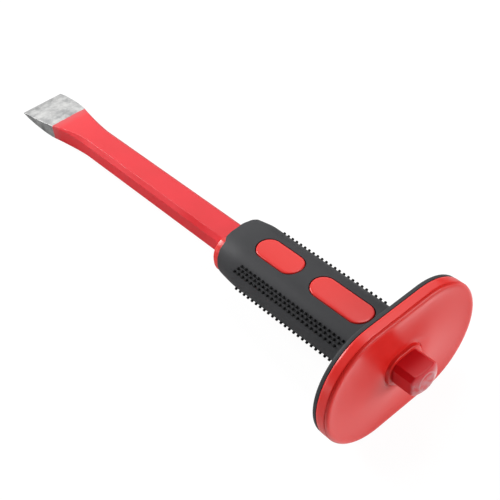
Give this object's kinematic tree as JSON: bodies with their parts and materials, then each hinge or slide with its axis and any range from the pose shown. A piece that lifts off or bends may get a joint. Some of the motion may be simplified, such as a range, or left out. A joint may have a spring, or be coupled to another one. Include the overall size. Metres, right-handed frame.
{
  "type": "cold chisel",
  "caption": "Flat cold chisel: forged octagonal steel bar with a flared ground blade, driven into a soft-covered grip with an oval hand plate.",
  "frame": {"origin": "centre of the flat struck face at the head end", "axes": "+X along the bar out of the struck face, with the cutting edge at -0.3 m; +Y across the broad faces, parallel to the cutting edge; +Z out of the upper broad face"},
  "size_m": [0.3, 0.092, 0.061],
  "materials": {
    "bar_paint": "gloss paint, with the blade ground bare in the visual model",
    "core_plastic": "moulded satin gloss",
    "grip_rubber": "matt moulded rubber"
  },
  "bodies": {
    "root": {"chisel_bar": "bar_paint", "guard_core": "core_plastic", "soft_grip": "grip_rubber"}
  },
  "joints": []
}
